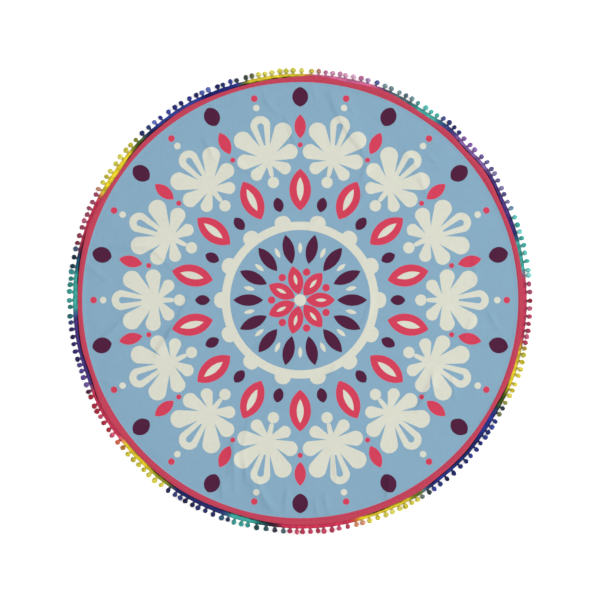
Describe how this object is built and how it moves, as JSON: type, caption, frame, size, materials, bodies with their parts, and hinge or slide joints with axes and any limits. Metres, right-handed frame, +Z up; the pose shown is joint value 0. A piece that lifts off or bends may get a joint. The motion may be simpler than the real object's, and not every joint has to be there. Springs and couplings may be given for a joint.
{
  "type": "round beach towel",
  "caption": "Round printed beach towel lying flat, with a turned hem and a dip-dyed pompom trim sewn under its edge.",
  "frame": {"origin": "middle of the towel's outline with its pompoms, on the surface that it lies on", "axes": "+Z up out of the printed face, +X to the right and +Y away from the viewer as the towel is seen from above; the towel is round, so X and Y have no other meaning"},
  "size_m": [1.5609, 1.5647, 0.0147],
  "materials": {
    "printed_towelling": "thin matt towelling, printed in pale blue, cream, coral and plum",
    "dyed_pompom_trim": "matt cotton tape and pompoms, dip-dyed in runs of crimson, yellow, teal, navy and purple"
  },
  "bodies": {
    "root": {"towel_cloth": "printed_towelling", "pompom_trim": "dyed_pompom_trim"}
  },
  "joints": []
}
